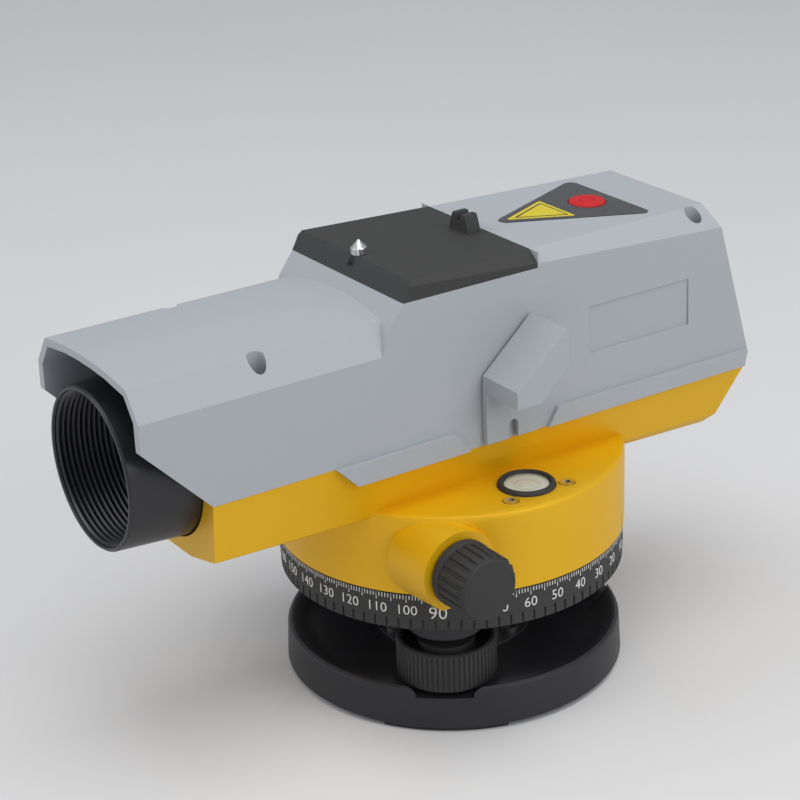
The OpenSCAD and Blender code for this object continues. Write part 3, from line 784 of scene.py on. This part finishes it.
class LEVEL_OT_circle(bpy.types.Operator):
    """Divisions and figures of the graduated circle"""

    bl_idname = "level.circle"
    bl_label = "Circle"

    zero_deg = 50.78  # where the circle's 0 stands

    def execute(self, context):
        repaint("circle_ring", "circle_black")
        finish("mark_white", colours().marks, 0.5, depth=0.002, tone=0.05)
        low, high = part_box("circle_ring")
        radius, top = (high.x - low.x) / 2 / MM, high.z / MM - 0.3
        short = self.tick(radius, top, top - 1.35)
        long = self.tick(radius, top, top - 2.3)
        parts = [copied(short, 360, 1, self.zero_deg), copied(long, 72, 5, self.zero_deg)]
        for value in range(0, 360, 10):
            large = value % 90 == 0
            height = sizes().figure_height / MM * (1.27 if large else 1.0)
            parts.append(self.figure(str(value), radius, value, height, top - 3.0 - height))
        piece("circle_marks", "circle", joined(*parts), ["mark_white"], angle=0)
        return {"FINISHED"}

    def tick(self, radius, high, low):
        """One division, between two heights on the circle's rim."""
        half = sizes().tick_width / MM / 2
        inner, outer = radius - 0.1, radius + 0.02
        corners = [(inner, -half), (outer, -half), (outer, half), (inner, half)]
        return prism(corners, low, high)

    def figure(self, text, radius, value, height, base):
        """One number, bent round the circle."""
        curve = bpy.data.curves.new("figure", "FONT")
        curve.body = text
        curve.size = height * MM / 0.73
        curve.align_x = "CENTER"
        curve.resolution_u = 3
        curve.offset = -0.008 * height * MM
        obj = bpy.data.objects.new("figure", curve)
        bpy.context.scene.collection.objects.link(obj)
        bpy.context.view_layer.update()
        mesh = bpy.data.meshes.new_from_object(obj.evaluated_get(bpy.context.evaluated_depsgraph_get()))
        bpy.data.objects.remove(obj)
        bm = bmesh.new()
        bm.from_mesh(mesh)
        bpy.data.meshes.remove(mesh)
        skin = bmesh.ops.extrude_face_region(bm, geom=bm.faces[:])["geom"]
        raised = {v for v in skin if isinstance(v, bmesh.types.BMVert)}
        middle_angle = math.radians(self.zero_deg - value)
        for vert in bm.verts:
            r = (radius + (0.025 if vert in raised else -0.05)) * MM
            angle = middle_angle + vert.co.x / (radius * MM)
            vert.co = (r * math.cos(angle), r * math.sin(angle), base * MM + vert.co.y)
        bmesh.ops.recalc_face_normals(bm, faces=bm.faces)
        return bm


class LEVEL_OT_foot_knobs(bpy.types.Operator):
    """Ribbed knobs of the three foot screws"""

    bl_idname = "level.foot_knobs"
    bl_label = "Foot knobs"

    def execute(self, context):
        count = sizes().foot_ribs
        for letter in "abc":
            node = "foot_knob_" + letter
            low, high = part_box(node)
            axis = middle(node)
            z, h = low.z / MM, (high.z - low.z) / MM
            profile = [(4.05, z + 0.3), (6.5, z + 0.3), (6.5, z + 1.6), (12.0, z + 1.6),
                       (12.6, z + 0.1), (12.9, z), (13.9, z), (14.25, z + 0.2), (14.4, z + 0.6),
                       (14.4, z + h - 0.7), (14.2, z + h - 0.2), (13.8, z + h), (13.4, z + h),
                       (13.1, z + h - 0.2), (12.7, z + h - 3), (8.8, z + h - 3),
                       (8.5, z + h - 2.8), (8.5, z + h - 1.1), (8.2, z + h - 0.7),
                       (4.05, z + h - 0.5)]
            knob = lathe(profile, 120)
            ribs = copied(rib(14.4, z + 0.35, z + h - 0.25, 1.05, 0.5), count, 360 / count)
            piece("foot_grip_" + letter, "foot_screw_" + letter, joined(knob, ribs), "knob_black",
                  node, upright(axis), 40)
        return {"FINISHED"}


class LEVEL_OT_side_knobs(bpy.types.Operator):
    """Tangent knobs on both sides, focusing knob and eyepiece ring"""

    bl_idname = "level.side_knobs"
    bl_label = "Side knobs and eyepiece ring"

    def execute(self, context):
        self.tangent("left", False)
        self.tangent("right", True)
        self.focus()
        self.eyepiece()
        return {"FINISHED"}

    def tangent(self, side, turned):
        node = "tangent_knob_" + side
        low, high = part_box(node)
        axis = middle(node)
        length = (high.x - low.x) / MM
        back = (high.x if turned else low.x) / MM
        knob = lathe([(3.02, 0), (9.5, 0), (9.9, 0.3), (10, 0.7), (10, 2.3), (9.85, 2.6),
                      (9.2, 2.9), (9.2, length - 1.5), (9.15, length - 1.1), (8.9, length - 0.4),
                      (8.5, length - 0.08), (8.0, length), (0, length), (0, length - 2.95),
                      (3.02, length - 2.95)], 120)
        count = sizes().tangent_ribs
        one = rib(9.2, 2.3, length - 0.9, 1.75, 0.78, ends=0.9)
        ribs = copied(one, count, 360 / count)
        piece("tangent_grip_" + side, "tangent_drive", joined(knob, ribs), "knob_black", node,
              axis_x(back, axis.y, axis.z, turned), 40)

    def focus(self):
        low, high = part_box("focus_knob")
        axis = middle("focus_knob")
        length, r = (high.x - low.x) / MM, (high.y - low.y) / 2 / MM
        knob = lathe([(2.52, 0), (9, 0), (9, 1.2), (r - 1.6, 2.4), (r - 0.6, 3.0), (r - 0.5, 3.4),
                      (r - 0.5, length - 2.4), (r - 0.9, length - 1.4), (r - 2, length - 0.5),
                      (r - 4, length - 0.1), (r - 6, length), (0, length), (0, length - 4.45),
                      (2.52, length - 4.45)], 120)
        ribs = copied(rib(r - 0.5, 3.1, length - 1.8, 1.5, 0.5, ends=0.8), 40, 9)
        piece("focus_grip", "focus_drive", joined(knob, ribs), "knob_black", "focus_knob",
              axis_x(high.x / MM, axis.y, axis.z, True), 40)

    def eyepiece(self):
        low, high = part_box("eyepiece_ring")
        axis = middle("eyepiece_ring")
        length = (high.y - low.y) / MM
        ring = lathe([(12.05, 0), (12.3, 0), (12.45, 0.3), (12.45, 5.6), (12.3, 6.4),
                      (12.0, length - 0.4), (11.6, length), (6.6, length), (6.2, length - 0.3),
                      (7.4, 7.3), (12.05, 7.3)], 120)
        ribs = copied(rib(12.45, 0.5, 6.0, 1.0, 0.42, ends=0.6), 48, 7.5)
        piece("diopter_grip", "eyepiece_ring", joined(ring, ribs), "knob_black", "eyepiece_ring",
              axis_y(axis.x, low.y / MM, axis.z), 40)


class LEVEL_OT_circular_level(bpy.types.Operator):
    """Circular level: cream base, ring mark, bubble drawn as a ring of painted shade, glass, black ring
    and its screws
    """

    bl_idname = "level.circular_level"
    bl_label = "Circular level"

    def execute(self, context):
        place = upright(middle("vial_base"))
        low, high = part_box("vial_glass")
        foot, top = low.z / MM, high.z / MM
        repaint("vial_base", "vial_cream")
        print_black()
        # The bubble is a flat ring darker than the fluid: painted shade where light bends at the bubble's
        # edge
        finish("bubble_edge_painted_shade", (0.34, 0.35, 0.27), 0.3, depth=0.002)
        ring = lathe([(3.35, top - 1.02), (3.75, top - 1.02), (3.75, top - 0.9), (3.35, top - 0.9)], 64)
        bubble = lathe([(1.95, top - 1.02), (2.3, top - 1.02), (2.3, top - 0.9), (1.95, top - 0.9)], 48)
        bubble.transform(Matrix.Translation((0.5 * MM, -0.3 * MM, 0)))
        cup = lathe([(0, foot + 0.1), (6.5, foot + 0.1), (6.5, top - 1.0), (0, top - 1.0)], 64)
        piece("level_fluid", "alidade", joined((cup, 0), (ring, 1), (bubble, 2)),
              ["vial_cream", "print_black", "bubble_edge_painted_shade"], place=place, angle=30)
        glass_top = lathe([(0, top - 0.85), (6.6, top - 0.85), (6.65, top - 0.5), (6.4, top - 0.25),
                           (5.0, top - 0.1), (2.5, top - 0.02), (0, top)], 64)
        piece("level_glass", "alidade", glass_top, "vial_glass", "vial_glass", place, 60)
        low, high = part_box("vial_bezel")
        foot, top = low.z / MM, high.z / MM
        r = (high.x - low.x) / 2 / MM
        bezel = lathe([(6.7, foot), (r, foot), (r, top - 1.1), (r - 0.15, top - 0.6),
                       (r - 0.5, top - 0.2), (r - 0.95, top), (r - 1.3, top - 0.05),
                       (r - 1.6, top - 0.3), (6.75, top - 0.7), (6.7, top - 1.0)], 96)
        piece("level_ring", "alidade", bezel, "knob_black", "vial_bezel", place, 60)
        repaint("vial_screws", "plated_steel")
        return {"FINISHED"}


class LEVEL_OT_base(bpy.types.Operator):
    """Base plate and tribrach in black paint, with rounded edges"""

    bl_idname = "level.base"
    bl_label = "Base and tribrach"

    def execute(self, context):
        bm = from_cad("base_plate", BASE_EDGE)
        piece("base_casting", "base", bm, "base_black", "base_plate", flats=True)
        arms = from_cad("tribrach", ARM_EDGE)
        piece("tribrach_casting", "tribrach", arms, "base_black", "tribrach", flats=True)
        return {"FINISHED"}


class LEVEL_OT_barrel(bpy.types.Operator):
    """Finish of the lens barrel"""

    bl_idname = "level.barrel"
    bl_label = "Lens barrel"

    def execute(self, context):
        repaint("lens_barrel", "anodised")
        return {"FINISHED"}


class LEVEL_OT_inner(bpy.types.Operator):
    """Finishes of the pieces that keep their CAD shape"""

    bl_idname = "level.inner"
    bl_label = "Inner pieces"

    def execute(self, context):
        slots = {s["node"]: s["material_slot"] for s in frame["record"]["subparts"]}
        for node, obj in NODES.items():
            if not obj.hide_render:
                repaint(node, slots[node])
        return {"FINISHED"}


OPERATORS = (
    LEVEL_OT_stage,
    LEVEL_OT_cover,
    LEVEL_OT_body,
    LEVEL_OT_lid,
    LEVEL_OT_label,
    LEVEL_OT_circle,
    LEVEL_OT_foot_knobs,
    LEVEL_OT_side_knobs,
    LEVEL_OT_circular_level,
    LEVEL_OT_base,
    LEVEL_OT_barrel,
    LEVEL_OT_inner,
)


class LEVEL_PT_panel(bpy.types.Panel):
    """Settings and pieces of the level."""

    bl_idname = "LEVEL_PT_panel"
    bl_label = "Automatic level"
    bl_space_type = "VIEW_3D"
    bl_region_type = "UI"
    bl_category = "Level"

    def draw(self, context):
        layout = self.layout
        for group in (context.scene.level_sizes, context.scene.level_colours):
            box = layout.box()
            for name in group.__annotations__:
                box.prop(group, name)
        for operator in OPERATORS:
            layout.operator(operator.bl_idname)


CLASSES = (LevelColours, LevelSizes, *OPERATORS, LEVEL_PT_panel)


def register():
    for cls in CLASSES:
        bpy.utils.register_class(cls)
    bpy.types.Scene.level_colours = PointerProperty(type=LevelColours)
    bpy.types.Scene.level_sizes = PointerProperty(type=LevelSizes)


def unregister():
    del bpy.types.Scene.level_sizes
    del bpy.types.Scene.level_colours
    for cls in reversed(CLASSES):
        bpy.utils.unregister_class(cls)


def main():
    register()
    for operator in OPERATORS:
        group, name = operator.bl_idname.split(".")
        getattr(getattr(bpy.ops, group), name)()


if __name__ == "__main__":
    main()
